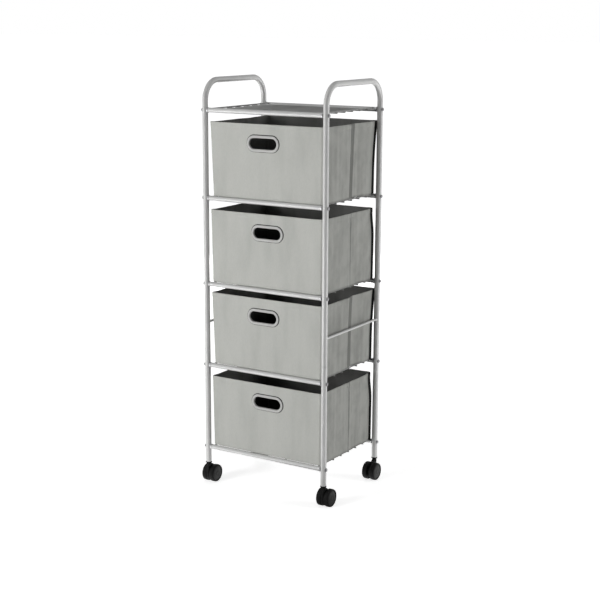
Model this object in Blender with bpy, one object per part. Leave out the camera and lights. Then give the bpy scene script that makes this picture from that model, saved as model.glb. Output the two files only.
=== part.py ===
"""Rolling drawer cart: bent-tube side frames, wire shelves, fabric drawers and twin-wheel casters.

Metres, +Z up. The origin is on the floor under the middle of the cart, and -Y is the front.
"""
import math

import bmesh
import bpy
from mathutils import Matrix, Vector

# Gap left between pieces that touch, and round pieces that run in each other
SEAT_GAP = 0.0003

# Drawers, numbered from the top
DRAWER_WIDTH = 0.357
DRAWER_DEPTH = 0.2794
DRAWER_HEIGHT = 0.2011
DRAWER_TAPER = 0.005
DRAWER_WALL = 0.003
DRAWER_FLOOR = 0.002
DRAWER_CORNER_RADIUS = 0.006
DRAWER_BOTTOM_RADIUS = 0.004
FOLD_DEPTH = 0.0015
FOLD_HALF_WIDTH = 0.004
DRAWER_SIDE_CLEARANCE = 0.0035
DRAWER_END_CLEARANCE = 0.0038
RIM_GAPS = (0.0238, 0.0247, 0.0170, 0.0252)
BASE_BOARD_THICKNESS = 0.003
BASE_BOARD_CHAMFER = 0.008

# Oval finger pull in each drawer front
GROMMET_HOLE_WIDTH = 0.086
GROMMET_HOLE_HEIGHT = 0.029
GROMMET_FLANGE = 0.009
GROMMET_FLANGE_THICKNESS = 0.0018
GROMMET_SLEEVE = 0.003
GROMMET_CHAMFER = 0.0008
GROMMET_BELOW_RIM = 0.0523
GROMMET_OFFSET = 0.0066

# Frame tube
TUBE_DIAMETER = 0.016
TUBE_WALL = 0.0012
HANDLE_RISE = 0.0788
HANDLE_BEND_RADIUS = 0.055
LEG_JOINT_ABOVE_SHELF = 0.0482
SPIGOT_LENGTH = 0.035
BRACE_DIAMETER = 0.007
BRACE_BELOW_SHELF = 0.1096
LEG_SHELF_COUNT = 2

# Shelves
SHELF_ABOVE_SOCKET = 0.016
BAR_DIAMETER = 0.013
BAR_WALL = 0.0012
BAR_PLUG_BEYOND_BOLT = 0.003
WIRE_DIAMETER = 0.004
WIRE_WELD_DEPTH = 0.0004
WIRE_SET_DOWN = 0.0012
LONG_WIRE_COUNT = 6
LONG_WIRE_END_GAP = 0.0065
CROSS_WIRE_COUNT = 4
CROSS_WIRE_END_MARGIN = 0.0115

# Shelf bolts
BOLT_DIAMETER = 0.0055
BOLT_LENGTH_IN_BAR = 0.016
BOLT_HEAD_DIAMETER = 0.010
BOLT_CROWN_DIAMETER = 0.006
BOLT_HEAD_HEIGHT = 0.0035

# Casters
WHEEL_RADIUS = 0.025
WHEEL_WIDTH = 0.0147
WHEEL_EDGE = 0.003
WHEEL_INNER_EDGE = 0.0018
WHEEL_RIM = 0.007
WHEEL_FACE_RECESS = 0.001
CASTER_WEB = 0.008
CASTER_WEB_RADIUS = 0.0165
CASTER_HOOD_INSET = 0.0008
CASTER_HOOD_TOP = math.radians(95)
CASTER_HOOD_FOOT = math.radians(232)
CASTER_TRAIL = 0.016
CASTER_NECK_DIAMETER = 0.0125
CASTER_NECK_HEIGHT = 0.0068
WHEEL_SIDE_GAP = 0.0008
WHEEL_TOP_GAP = 0.0015
AXLE_DIAMETER = 0.006
AXLE_END_COVER = 0.004
STEM_DIAMETER = 0.008
STEM_LENGTH = 0.026
SOCKET_ABOVE_STEM = 0.008
SOCKET_COLLAR_DIAMETER = 0.018
SOCKET_COLLAR_HEIGHT = 0.0035

# Facets round the circle
TUBE_SIDES = 10
BAR_SIDES = 10
BRACE_SIDES = 8
WIRE_SIDES = 6
BOLT_SIDES = 6
STEM_SIDES = 8
HOOD_STEPS = 8
WHEEL_SIDES = 20
BEND_STEPS = 6
GROMMET_END_STEPS = 6
CORNER_STEPS = 2
BOTTOM_STEPS = 2
SMOOTH_ANGLE = math.radians(61)
MERGE_DISTANCE = 1e-6

# Derived places and sizes
TUBE_RADIUS = TUBE_DIAMETER / 2
TUBE_BORE = TUBE_RADIUS - TUBE_WALL
BAR_RADIUS = BAR_DIAMETER / 2
WIRE_RADIUS = WIRE_DIAMETER / 2
POST_X = DRAWER_WIDTH / 2 + DRAWER_SIDE_CLEARANCE + TUBE_RADIUS
POST_Y = DRAWER_DEPTH / 2 + DRAWER_END_CLEARANCE
BAR_END = POST_X - TUBE_RADIUS - SEAT_GAP
BOLT_HOLE_RADIUS = (BOLT_DIAMETER / 2 + SEAT_GAP) / math.cos(math.pi / BOLT_SIDES)
WHEEL_INNER_FACE = CASTER_WEB / 2 + WHEEL_SIDE_GAP
NECK_BOTTOM = 2 * WHEEL_RADIUS + WHEEL_TOP_GAP
NECK_TOP = NECK_BOTTOM + CASTER_NECK_HEIGHT
POST_BOTTOM = NECK_TOP + SEAT_GAP + SOCKET_COLLAR_HEIGHT + SEAT_GAP
STEM_TOP = NECK_TOP + STEM_LENGTH
SOCKET_TOP = STEM_TOP + SOCKET_ABOVE_STEM
DRAWER_COUNT = len(RIM_GAPS)
BOTTOM_SHELF = SOCKET_TOP + SHELF_ABOVE_SOCKET
SHELF_PITCHES = [BAR_DIAMETER + SEAT_GAP + DRAWER_HEIGHT + gap for gap in RIM_GAPS]
SHELF_HEIGHTS = [BOTTOM_SHELF + sum(SHELF_PITCHES[i:]) for i in range(DRAWER_COUNT + 1)]
FRAME_SHELVES = SHELF_HEIGHTS[:-LEG_SHELF_COUNT]
LEG_SHELVES = SHELF_HEIGHTS[-LEG_SHELF_COUNT:]
HANDLE_CENTRE = FRAME_SHELVES[0] + HANDLE_RISE
LEG_JOINT = LEG_SHELVES[0] + LEG_JOINT_ABOVE_SHELF
BRACE_HEIGHT = FRAME_SHELVES[-1] - BRACE_BELOW_SHELF

SHELF_NAMES = ["top_shelf"] + [f"drawer_shelf_{i + 1}" for i in range(DRAWER_COUNT)]
CORNERS = {
    "front_left": (-1, -1),
    "front_right": (1, -1),
    "back_left": (-1, 1),
    "back_right": (1, 1),
}


def clear_scene():
    for obj in list(bpy.data.objects):
        bpy.data.objects.remove(obj, do_unlink=True)


def make_material(name, color, roughness, metallic=0.0):
    material = bpy.data.materials.new(name)
    material.use_nodes = True
    shader = material.node_tree.nodes["Principled BSDF"]
    shader.inputs["Base Color"].default_value = (*color, 1.0)
    shader.inputs["Roughness"].default_value = roughness
    shader.inputs["Metallic"].default_value = metallic
    material.diffuse_color = (*color, 1.0)
    return material


def make_materials():
    return {
        "frame": make_material("silver_paint", (0.50, 0.50, 0.51), 0.38, 0.6),
        "shelf": make_material("silver_wire_paint", (0.48, 0.48, 0.49), 0.40, 0.6),
        "bolt": make_material("zinc_plated_steel", (0.42, 0.42, 0.43), 0.35, 0.9),
        "fabric": make_material("grey_fabric", (0.42, 0.42, 0.40), 0.9),
        "grommet": make_material("grey_plastic", (0.45, 0.45, 0.44), 0.45),
        "board": make_material("dark_board", (0.06, 0.06, 0.055), 0.85),
        "caster": make_material("black_plastic", (0.012, 0.012, 0.012), 0.4),
        "wheel": make_material("black_wheel_plastic", (0.018, 0.018, 0.018), 0.5),
    }


def finish_mesh(bm, name):
    """Turn a bmesh into a mesh with outward faces, smooth where it is round."""
    bmesh.ops.recalc_face_normals(bm, faces=bm.faces)
    mesh = bpy.data.meshes.new(name)
    bm.to_mesh(mesh)
    bm.free()
    mesh.shade_smooth()
    mesh.set_sharp_from_angle(angle=SMOOTH_ANGLE)
    return mesh


def spin_profile(profile, sides, closed=False, half_step=False):
    """Turn (radius, height) points about Z. half_step puts a flat, not an edge, at +X."""
    bm = bmesh.new()
    turn = Matrix.Rotation(math.pi / sides if half_step else 0.0, 3, "Z")
    verts = [bm.verts.new(turn @ Vector((radius, 0, height))) for radius, height in profile]
    pairs = list(zip(verts, verts[1:]))
    if closed:
        pairs.append((verts[-1], verts[0]))
    edges = [bm.edges.new(pair) for pair in pairs]
    bmesh.ops.spin(
        bm,
        geom=verts + edges,
        cent=(0, 0, 0),
        axis=(0, 0, 1),
        angle=2 * math.pi,
        steps=sides,
        use_merge=True,
    )
    bmesh.ops.remove_doubles(bm, verts=bm.verts, dist=MERGE_DISTANCE)
    return bm


def point_along(bm, axis):
    """Lay a shape that was turned about Z along another axis."""
    turn = Vector((0, 0, 1)).rotation_difference(Vector(axis)).to_matrix().to_4x4()
    bmesh.ops.transform(bm, matrix=turn, verts=bm.verts)
    return bm


def add_rod(bm, start, end, radius, sides):
    """Add a plain round rod, with flats rather than edges up and down."""
    start, end = Vector(start), Vector(end)
    turn = Vector((0, 0, 1)).rotation_difference(end - start).to_matrix().to_4x4()
    middle = Matrix.Translation((start + end) / 2) @ turn @ Matrix.Rotation(math.pi / sides, 4, "Z")
    bmesh.ops.create_cone(
        bm,
        cap_ends=True,
        segments=sides,
        radius1=radius,
        radius2=radius,
        depth=(end - start).length,
        matrix=middle,
    )


def bridge_rings(bm, rings, closed=False):
    """Join each ring of vertices to the next with quads."""
    pairs = list(zip(rings, rings[1:]))
    if closed:
        pairs.append((rings[-1], rings[0]))
    for first, second in pairs:
        for i, vert in enumerate(first):
            j = (i + 1) % len(first)
            bm.faces.new((vert, first[j], second[j], second[i]))


def extrude_outline(points, locate, height):
    """Raise a flat outline by height. locate turns an outline point and a level into a place."""
    bm = bmesh.new()
    rings = [[bm.verts.new(locate(point, level)) for point in points] for level in (0.0, height)]
    bridge_rings(bm, rings)
    bm.faces.new(rings[0])
    bm.faces.new(rings[1])
    return bm


def combine(base, other, operation):
    """Unite mesh base with mesh other, or cut other out of it."""
    objects = [bpy.data.objects.new("operand", mesh) for mesh in (base, other)]
    for obj in objects:
        bpy.context.collection.objects.link(obj)
    modifier = objects[0].modifiers.new("combine", "BOOLEAN")
    modifier.operation = operation
    modifier.solver = "EXACT"
    modifier.object = objects[1]
    depsgraph = bpy.context.evaluated_depsgraph_get()
    result = bpy.data.meshes.new_from_object(objects[0].evaluated_get(depsgraph))
    for obj in objects:
        bpy.data.objects.remove(obj, do_unlink=True)
    result.name = base.name
    result.shade_smooth()
    result.set_sharp_from_angle(angle=SMOOTH_ANGLE)
    return result


def place(name, mesh, material, location=(0, 0, 0), turn=0.0, parent=None):
    """Add one piece, turned about Z."""
    if not mesh.materials:
        mesh.materials.append(material)
    obj = bpy.data.objects.new(name, mesh)
    obj.location = location
    obj.rotation_euler = (0, 0, turn)
    obj.parent = parent
    bpy.context.collection.objects.link(obj)
    return obj


def place_empty(name, location, turn=0.0):
    empty = bpy.data.objects.new(name, None)
    empty.location = location
    empty.rotation_euler = (0, 0, turn)
    bpy.context.collection.objects.link(empty)
    return empty


def bolt_holes(name, places):
    """Cutters along X through a post at each (y, z)."""
    bm = bmesh.new()
    for y, z in places:
        add_rod(bm, (-TUBE_DIAMETER, y, z), (TUBE_DIAMETER, y, z), BOLT_HOLE_RADIUS, BOLT_SIDES)
    return finish_mesh(bm, name)


def handle_path(foot):
    """Centre line of a side frame, up from foot, over the handle and down, with its directions."""
    bend_z = HANDLE_CENTRE - HANDLE_BEND_RADIUS
    bend_y = POST_Y - HANDLE_BEND_RADIUS
    path = [(Vector((0, -POST_Y, foot)), 0.0)]
    for side, first in ((-1, 0.0), (1, math.pi / 2)):
        for step in range(BEND_STEPS + 1):
            turned = first + step * math.pi / 2 / BEND_STEPS
            centre = Vector((0, side * bend_y, bend_z))
            offset = Vector((0, -math.cos(turned), math.sin(turned))) * HANDLE_BEND_RADIUS
            path.append((centre + offset, turned))
    path.append((Vector((0, POST_Y, foot)), math.pi))
    return path


def bent_rod(name, radius, foot):
    """Solid round rod along the side frame's centre line."""
    bm = bmesh.new()
    rings = []
    for centre, turned in handle_path(foot):
        outward = Vector((0, -math.cos(turned), math.sin(turned)))
        ring = []
        for i in range(TUBE_SIDES):
            angle = 2 * math.pi * i / TUBE_SIDES
            offset = Vector((1, 0, 0)) * math.cos(angle) + outward * math.sin(angle)
            ring.append(bm.verts.new(centre + offset * radius))
        rings.append(ring)
    bridge_rings(bm, rings)
    bm.faces.new(rings[0])
    bm.faces.new(rings[-1])
    return finish_mesh(bm, name)


def side_frame_mesh():
    """Bent tube with the cross rod welded between its legs, bored through, with its bolt holes."""
    brace = bmesh.new()
    ends = [(0, side * POST_Y, BRACE_HEIGHT) for side in (-1, 1)]
    add_rod(brace, *ends, BRACE_DIAMETER / 2, BRACE_SIDES)
    outside = bent_rod("side_frame", TUBE_RADIUS, LEG_JOINT)
    welded = combine(outside, finish_mesh(brace, "brace"), "UNION")
    tube = combine(welded, bent_rod("bore", TUBE_BORE, LEG_JOINT - TUBE_DIAMETER), "DIFFERENCE")
    holes = [(side * POST_Y, z) for side in (-1, 1) for z in FRAME_SHELVES]
    return combine(tube, bolt_holes("frame_holes", holes), "DIFFERENCE")


def leg_mesh():
    """Lower leg: open tube whose top is necked down to plug into the upper leg."""
    spigot = TUBE_BORE - SEAT_GAP
    spigot_bore = spigot - TUBE_WALL
    shoulder = LEG_JOINT - SEAT_GAP
    top = LEG_JOINT + SPIGOT_LENGTH
    profile = [
        (TUBE_RADIUS, POST_BOTTOM),
        (TUBE_RADIUS, shoulder),
        (spigot, shoulder),
        (spigot, top),
        (spigot_bore, top),
        (spigot_bore, shoulder - TUBE_WALL),
        (TUBE_BORE, shoulder - 2 * TUBE_WALL),
        (TUBE_BORE, POST_BOTTOM),
    ]
    tube = finish_mesh(spin_profile(profile, TUBE_SIDES, closed=True), "leg")
    return combine(tube, bolt_holes("leg_holes", [(0, z) for z in LEG_SHELVES]), "DIFFERENCE")


def bar_outline():
    """Half outline of a shelf bar along its axis."""
    radius = BAR_RADIUS / math.cos(math.pi / BAR_SIDES)
    return [(0.0, -BAR_END), (radius, -BAR_END), (radius, BAR_END), (0.0, BAR_END)]


def bore_outline():
    """Half outline of the hollow in a bar: a bolt hole through the plug in each end, and the tube's bore."""
    bore = (BAR_RADIUS - BAR_WALL) / math.cos(math.pi / BAR_SIDES)
    hole = BOLT_HOLE_RADIUS
    plug_end = BAR_END - BOLT_LENGTH_IN_BAR - BAR_PLUG_BEYOND_BOLT
    past = BAR_END + BAR_RADIUS
    right = [(bore, plug_end), (hole, plug_end), (hole, past), (0.0, past)]
    left = [(radius, -x) for radius, x in reversed(right)]
    return left + right


def bar_pair(outline, name):
    """Turn an outline about the front bar's axis and the back bar's."""
    pair = bmesh.new()
    for side in (-1, 1):
        turned = point_along(spin_profile(outline, BAR_SIDES, half_step=True), (1, 0, 0))
        bmesh.ops.translate(turned, verts=turned.verts, vec=(0, side * POST_Y, 0))
        one = finish_mesh(turned, "bar")
        pair.from_mesh(one)
        bpy.data.meshes.remove(one)
    return finish_mesh(pair, name)


def shelf_mesh():
    """Two tube bars and a wire mat: wires along the width, end wires across on top, others underneath."""
    wire_step = WIRE_DIAMETER - WIRE_SET_DOWN
    end_height = BAR_RADIUS - WIRE_RADIUS - WIRE_WELD_DEPTH
    long_height = end_height - wire_step
    under_height = long_height - wire_step
    cross_end = BAR_END - CROSS_WIRE_END_MARGIN
    cross = bmesh.new()
    for i in range(CROSS_WIRE_COUNT):
        x = cross_end * (2 * i / (CROSS_WIRE_COUNT - 1) - 1)
        z = end_height if i in (0, CROSS_WIRE_COUNT - 1) else under_height
        reach = POST_Y - WIRE_RADIUS
        add_rod(cross, (x, -reach, z), (x, reach, z), WIRE_RADIUS, WIRE_SIDES)

    long_end = BAR_END - LONG_WIRE_END_GAP
    long = bmesh.new()
    for i in range(LONG_WIRE_COUNT):
        y = POST_Y * (2 * (i + 1) / (LONG_WIRE_COUNT + 1) - 1)
        add_rod(long, (-long_end, y, long_height), (long_end, y, long_height), WIRE_RADIUS, WIRE_SIDES)

    bars = combine(bar_pair(bar_outline(), "shelf"), finish_mesh(cross, "cross_wires"), "UNION")
    tubes = combine(bars, bar_pair(bore_outline(), "bores"), "DIFFERENCE")
    return combine(tubes, finish_mesh(long, "long_wires"), "UNION")


def bolt_mesh():
    """Domed bolt along X, from the middle of the post, with its head outwards."""
    seat = TUBE_RADIUS + SEAT_GAP
    tip = -(TUBE_RADIUS + SEAT_GAP + BOLT_LENGTH_IN_BAR)
    radius = BOLT_DIAMETER / 2
    head = BOLT_HEAD_DIAMETER / 2
    crown = seat + BOLT_HEAD_HEIGHT
    profile = [(0.0, tip), (radius, tip), (radius, seat), (head, seat)]
    profile += [(BOLT_CROWN_DIAMETER / 2, crown), (0.0, crown)]
    return finish_mesh(point_along(spin_profile(profile, BOLT_SIDES), (1, 0, 0)), "shelf_bolt")


def socket_mesh():
    """Plug with a collar in the open end of a leg, bored through for the caster's stem."""
    bore = STEM_DIAMETER / 2 + SEAT_GAP
    plug = TUBE_BORE - SEAT_GAP
    collar = SOCKET_COLLAR_DIAMETER / 2
    flare = TUBE_RADIUS
    profile = [
        (bore, -SEAT_GAP - SOCKET_COLLAR_HEIGHT),
        (flare, -SEAT_GAP - SOCKET_COLLAR_HEIGHT),
        (collar, -SEAT_GAP - SOCKET_COLLAR_HEIGHT / 2),
        (collar, -SEAT_GAP),
        (plug, -SEAT_GAP),
        (plug, SOCKET_TOP - POST_BOTTOM),
        (bore, SOCKET_TOP - POST_BOTTOM),
    ]
    return finish_mesh(spin_profile(profile, TUBE_SIDES, closed=True), "caster_socket")


def convex_outline(points):
    """Outline of the points' convex hull, counter-clockwise."""
    points = sorted(points)

    def half(sequence):
        chain = []
        for p in sequence:
            while len(chain) > 1:
                (ax, ay), (bx, by) = chain[-2:]
                if (bx - ax) * (p[1] - ay) - (by - ay) * (p[0] - ax) > 0:
                    break
                chain.pop()
            chain.append(p)
        return chain[:-1]

    return half(points) + half(reversed(points))


def web_outline():
    """Side view of a caster's web: a disc round the axle, and a hood out to the tread on the leading side."""
    neck = CASTER_NECK_DIAMETER / 2
    outline = [(side * neck, z) for side in (-1, 1) for z in (NECK_BOTTOM, NECK_TOP - SEAT_GAP)]
    arcs = (
        (CASTER_WEB_RADIUS, 0.0, 2 * math.pi, 2 * STEM_SIDES),
        (WHEEL_RADIUS - CASTER_HOOD_INSET, CASTER_HOOD_TOP, CASTER_HOOD_FOOT, HOOD_STEPS),
    )
    for radius, first, last, steps in arcs:
        for i in range(steps + 1):
            angle = first + (last - first) * i / steps
            y = CASTER_TRAIL + radius * math.cos(angle)
            outline.append((y, WHEEL_RADIUS + radius * math.sin(angle)))
    return convex_outline(outline)


def housing_mesh():
    """Caster housing: web between the wheels, neck and stem on the swivel axis, axle through the web."""
    web = extrude_outline(web_outline(), lambda p, x: (x - CASTER_WEB / 2, *p), CASTER_WEB)
    neck = CASTER_NECK_DIAMETER / 2
    stem = STEM_DIAMETER / 2
    profile = [
        (0.0, NECK_BOTTOM),
        (neck, NECK_BOTTOM),
        (neck, NECK_TOP),
        (stem, NECK_TOP),
        (stem, STEM_TOP - stem / 2),
        (stem / 2, STEM_TOP),
        (0.0, STEM_TOP),
    ]
    axle_end = WHEEL_INNER_FACE + WHEEL_WIDTH - AXLE_END_COVER
    axle = bmesh.new()
    add_rod(
        axle,
        (-axle_end, CASTER_TRAIL, WHEEL_RADIUS),
        (axle_end, CASTER_TRAIL, WHEEL_RADIUS),
        AXLE_DIAMETER / 2,
        STEM_SIDES,
    )
    body = combine(finish_mesh(web, "caster_housing"), finish_mesh(axle, "axle"), "UNION")
    return combine(body, finish_mesh(spin_profile(profile, STEM_SIDES), "stem"), "UNION")


def wheel_mesh():
    """Wheel about X with its outer face at +X: rounded tread edge, dished face and a blind hub bore."""
    tread = WHEEL_RADIUS / math.cos(math.pi / WHEEL_SIDES)
    bore = AXLE_DIAMETER / 2 + SEAT_GAP
    bore_end = WHEEL_WIDTH - AXLE_END_COVER + SEAT_GAP
    dish = WHEEL_WIDTH - WHEEL_FACE_RECESS
    profile = [
        (0.0, bore_end),
        (bore, bore_end),
        (bore, 0.0),
        (tread - WHEEL_INNER_EDGE, 0.0),
        (tread, WHEEL_INNER_EDGE),
        (tread, WHEEL_WIDTH - WHEEL_EDGE),
        (tread - WHEEL_EDGE, WHEEL_WIDTH),
        (tread - WHEEL_RIM, dish),
        (0.0, dish),
    ]
    wheel = spin_profile(profile, WHEEL_SIDES, half_step=True)
    return finish_mesh(point_along(wheel, (1, 0, 0)), "caster_wheel")


def drawer_section(half_width, half_depth, radius):
    """Rounded rectangle with a shallow inward fold half-way along its two short sides."""
    points = []
    corners = ((1, -1, -math.pi / 2), (1, 1, 0.0), (-1, 1, math.pi / 2), (-1, -1, math.pi))
    for sx, sy, start in corners:
        for step in range(CORNER_STEPS + 1):
            angle = start + step * math.pi / 2 / CORNER_STEPS
            x = sx * (half_width - radius) + radius * math.cos(angle)
            y = sy * (half_depth - radius) + radius * math.sin(angle)
            points.append((x, y))
        if sx != sy:
            x = sx * half_width
            width = sx * FOLD_HALF_WIDTH
            points += [(x, -width), (x - sx * FOLD_DEPTH, 0.0), (x, width)]
    return points


def drawer_half_width(height):
    """Half width of a drawer's outside at a height above its bottom: it narrows downwards."""
    return DRAWER_WIDTH / 2 - DRAWER_TAPER * (1 - height / DRAWER_HEIGHT)


def drawer_ring(bm, height, inset):
    """Outline of a drawer at a height above its bottom, set in from its outside."""
    half_width = drawer_half_width(height) - inset
    radius = max(DRAWER_CORNER_RADIUS - inset, DRAWER_CORNER_RADIUS / 4)
    section = drawer_section(half_width, DRAWER_DEPTH / 2 - inset, radius)
    return [bm.verts.new((x, y, height)) for x, y in section]


def bin_mesh(offset):
    """Open-topped bin with thin walls and an oval hole in its front."""
    bm = bmesh.new()
    levels = []
    for step in range(BOTTOM_STEPS + 1):
        angle = step * math.pi / 2 / BOTTOM_STEPS
        height = DRAWER_BOTTOM_RADIUS * (1 - math.cos(angle))
        levels.append((height, DRAWER_BOTTOM_RADIUS * (1 - math.sin(angle))))
    levels += [(DRAWER_HEIGHT, 0.0), (DRAWER_HEIGHT, DRAWER_WALL), (DRAWER_FLOOR, DRAWER_WALL)]
    rings = [drawer_ring(bm, height, inset) for height, inset in levels]
    bridge_rings(bm, rings)
    bm.faces.new(rings[0])
    bm.faces.new(rings[-1])

    start = -DRAWER_DEPTH / 2 - DRAWER_WALL
    middle = DRAWER_HEIGHT - GROMMET_BELOW_RIM
    hole = extrude_outline(
        oval(GROMMET_SLEEVE + SEAT_GAP),
        lambda p, y: (p[0] + offset, y + start, p[1] + middle),
        3 * DRAWER_WALL,
    )
    return combine(finish_mesh(bm, "bin"), finish_mesh(hole, "bin_hole"), "DIFFERENCE")


def oval(grow):
    """Round-ended outline of the finger hole, grown outwards."""
    radius = GROMMET_HOLE_HEIGHT / 2
    half = GROMMET_HOLE_WIDTH / 2 - radius
    points = []
    for side in (1, -1):
        for step in range(GROMMET_END_STEPS + 1):
            angle = side * math.pi / 2 * (2 * step / GROMMET_END_STEPS - 1)
            x = side * (half + (radius + grow) * math.cos(angle))
            points.append((x, (radius + grow) * math.sin(angle)))
    return points


def grommet_mesh():
    """Oval ring that grips the bin's front wall from both sides. The wall's front is at local y = 0."""
    front = -SEAT_GAP - GROMMET_FLANGE_THICKNESS
    inside = DRAWER_WALL + SEAT_GAP
    back = inside + GROMMET_FLANGE_THICKNESS
    chamfer = GROMMET_CHAMFER
    profile = [
        (0.0, front + chamfer),
        (chamfer, front),
        (GROMMET_FLANGE - chamfer, front),
        (GROMMET_FLANGE, front + chamfer),
        (GROMMET_FLANGE, -SEAT_GAP),
        (GROMMET_SLEEVE, -SEAT_GAP),
        (GROMMET_SLEEVE, inside),
        (GROMMET_FLANGE, inside),
        (GROMMET_FLANGE, back),
        (0.0, back),
    ]
    bm = bmesh.new()
    rings = [[bm.verts.new((x, y, z)) for x, z in oval(grow)] for grow, y in profile]
    bridge_rings(bm, rings, closed=True)
    return finish_mesh(bm, "grommet")


def base_board_mesh():
    """Stiff board with cut corners on the floor of a bin."""
    inset = DRAWER_WALL + FOLD_DEPTH + SEAT_GAP
    x = drawer_half_width(DRAWER_FLOOR) - inset
    y = DRAWER_DEPTH / 2 - inset
    cut = BASE_BOARD_CHAMFER
    right = [(x - cut, -y), (x, cut - y), (x, y - cut), (x - cut, y)]
    outline = right + [(-px, py) for px, py in reversed(right)]
    floor = DRAWER_FLOOR + SEAT_GAP
    board = extrude_outline(outline, lambda p, z: (*p, z + floor), BASE_BOARD_THICKNESS)
    return finish_mesh(board, "base_board")


def build_frame(materials):
    side_frame = side_frame_mesh()
    place("left_side_frame", side_frame, materials["frame"], (-POST_X, 0, 0))
    place("right_side_frame", side_frame, materials["frame"], (POST_X, 0, 0))
    leg = leg_mesh()
    socket = socket_mesh()
    for corner, (sx, sy) in CORNERS.items():
        x, y = sx * POST_X, sy * POST_Y
        place(f"{corner}_leg", leg, materials["frame"], (x, y, 0))
        place(f"{corner}_caster_socket", socket, materials["caster"], (x, y, POST_BOTTOM))


def build_shelves(materials):
    shelf = shelf_mesh()
    bolt = bolt_mesh()
    for name, height in zip(SHELF_NAMES, SHELF_HEIGHTS):
        place(name, shelf, materials["shelf"], (0, 0, height))
        for corner, (sx, sy) in CORNERS.items():
            spot = (sx * POST_X, sy * POST_Y, height)
            turn = 0.0 if sx > 0 else math.pi
            place(f"{name}_bolt_{corner}", bolt, materials["bolt"], spot, turn)


def build_drawers(materials):
    bins = {side: bin_mesh(side * GROMMET_OFFSET) for side in (-1, 1)}
    grommet = grommet_mesh()
    board = base_board_mesh()
    for i in range(DRAWER_COUNT):
        side = -1 if i % 2 == 0 else 1
        bottom = SHELF_HEIGHTS[i + 1] + BAR_RADIUS + SEAT_GAP
        drawer = place_empty(f"drawer_{i + 1}", (0, 0, bottom))
        pull = (side * GROMMET_OFFSET, -DRAWER_DEPTH / 2, DRAWER_HEIGHT - GROMMET_BELOW_RIM)
        place(f"drawer_{i + 1}_bin", bins[side], materials["fabric"], parent=drawer)
        place(f"drawer_{i + 1}_grommet", grommet, materials["grommet"], pull, parent=drawer)
        place(f"drawer_{i + 1}_base_board", board, materials["board"], parent=drawer)


def build_casters(materials):
    """Casters at rest trail inwards, the front pair to the back and the back pair to the front."""
    housing = housing_mesh()
    wheel = wheel_mesh()
    for corner, (sx, sy) in CORNERS.items():
        turn = 0.0 if sy < 0 else math.pi
        caster = place_empty(f"{corner}_caster", (sx * POST_X, sy * POST_Y, 0), turn)
        place(f"{corner}_caster_housing", housing, materials["caster"], parent=caster)
        outer = sx if sy < 0 else -sx
        for name, side in (("outer", outer), ("inner", -outer)):
            spot = (side * WHEEL_INNER_FACE, CASTER_TRAIL, WHEEL_RADIUS)
            face = 0.0 if side > 0 else math.pi
            place(f"{corner}_{name}_wheel", wheel, materials["wheel"], spot, face, caster)


def main():
    clear_scene()
    materials = make_materials()
    build_frame(materials)
    build_shelves(materials)
    build_drawers(materials)
    build_casters(materials)


main()
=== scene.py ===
"""Looks of the rolling drawer cart: painted tube, wire shelves, cloth drawers and casters."""
import math

import bmesh
import bpy
from mathutils import Matrix, Vector, noise


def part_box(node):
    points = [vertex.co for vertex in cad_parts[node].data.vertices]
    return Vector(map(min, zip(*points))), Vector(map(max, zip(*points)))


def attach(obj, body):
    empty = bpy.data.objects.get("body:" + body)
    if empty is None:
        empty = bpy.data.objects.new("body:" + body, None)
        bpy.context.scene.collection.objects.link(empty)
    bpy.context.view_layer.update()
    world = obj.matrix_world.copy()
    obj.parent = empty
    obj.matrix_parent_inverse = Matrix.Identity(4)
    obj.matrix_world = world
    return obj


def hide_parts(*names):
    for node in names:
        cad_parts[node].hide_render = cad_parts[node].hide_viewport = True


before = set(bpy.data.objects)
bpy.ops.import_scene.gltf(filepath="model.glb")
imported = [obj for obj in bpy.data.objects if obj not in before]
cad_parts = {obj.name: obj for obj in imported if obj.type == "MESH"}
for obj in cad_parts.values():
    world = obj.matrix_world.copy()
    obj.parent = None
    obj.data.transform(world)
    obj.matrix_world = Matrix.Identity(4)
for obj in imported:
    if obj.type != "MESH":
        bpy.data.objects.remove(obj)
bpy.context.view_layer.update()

# All sizes are in metres. A pair that goes to rise() is a start and a length
CORNERS = {
    "front_left": (-1, -1), "front_right": (1, -1), "back_left": (-1, 1), "back_right": (1, 1)}
SHELVES = ["top_shelf"] + [f"drawer_shelf_{i}" for i in range(1, 5)]
ROOT = "cart_frame"
SEAT_GAP = 0.0003

# Frame
TUBE_RADIUS = 0.008
TUBE_SIDES = 28
TUBE_EDGE = 0.0006
HANDLE_BEND_RADIUS = 0.055
BEND_STEPS = 18
LEG_BORE = 0.0067
SPIGOT_RADIUS = 0.0065
SPIGOT_BORE = 0.0053
SPIGOT_NECK = (0.01, 0.014)
BRACE_RADIUS = 0.0035
BRACE_SIDES = 18
BRACE_BELOW_SHELF = 0.1096
WELD_SIDES = 20
WELD_CORE = 0.7
# Weld fillet: distance along the rod, height above its surface
WELD_FILLET = ((-0.0022, 0.0016), (-0.0004, 0.0015), (0.0012, 0.0007), (0.0021, 0.0001))

# Shelves
BAR_RADIUS = 0.0065
BAR_SIDES = 24
BAR_EDGE = 0.0008
BAR_RING_RADIUS = 0.0073
BAR_RING_BORE = 0.0057
BAR_RING_LENGTH = 0.0042
BAR_RING_EDGE = 0.0005
BAR_WELD = (0.003, 0.0017, 0.0022)
BAR_WELD_OUT = 0.0005
# Wires: radius, sides, eased edge
CROSS_WIRE = (0.002, 12, 0.0005)
LONG_WIRE = (0.002, 12, 0.0006)
WIRE_WELD = (0.0023, 0.0023, 0.0008)
LONG_WIRES = 6
LONG_WIRE_GAP = 0.0065
LONG_WIRE_HEIGHT = 0.0013
CROSS_WIRES = 4
CROSS_WIRE_MARGIN = 0.0115
WIRE_STEP = 0.0028

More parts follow.
